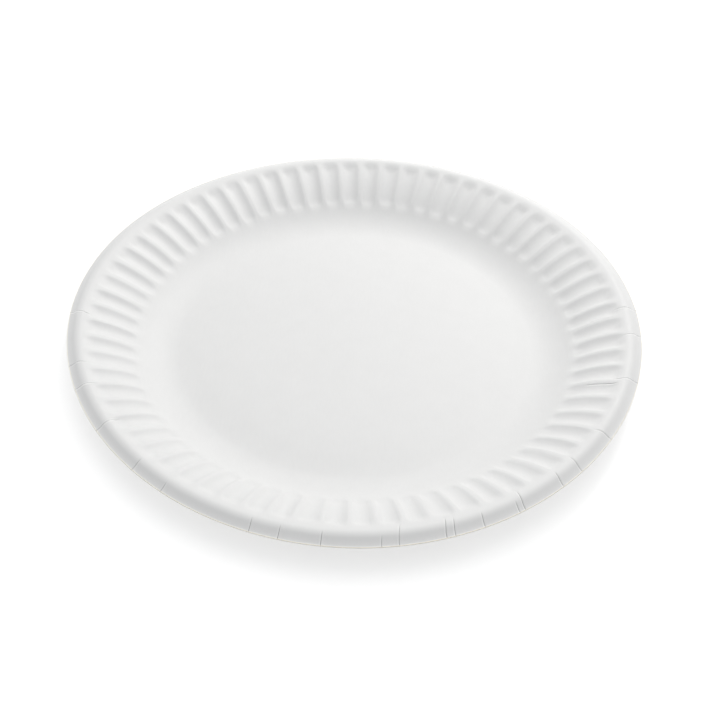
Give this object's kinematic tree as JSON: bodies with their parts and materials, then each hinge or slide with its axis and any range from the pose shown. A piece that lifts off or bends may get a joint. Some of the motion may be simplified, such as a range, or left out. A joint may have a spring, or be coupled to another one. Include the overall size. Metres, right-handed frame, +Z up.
{
  "type": "paper plate",
  "caption": "Round disposable plate pressed from one sheet of white paper board, with a flat floor, a sloping wall of radial flutes and a turned-down rim.",
  "frame": {"origin": "middle of the floor's underside, on the surface that the plate stands on", "axes": "+Z up along the plate's axis, +X to the right and +Y away from the viewer as in the picture"},
  "size_m": [0.23, 0.23, 0.016],
  "materials": {
    "board": "matte"
  },
  "bodies": {
    "root": {"plate": "board"}
  },
  "joints": []
}
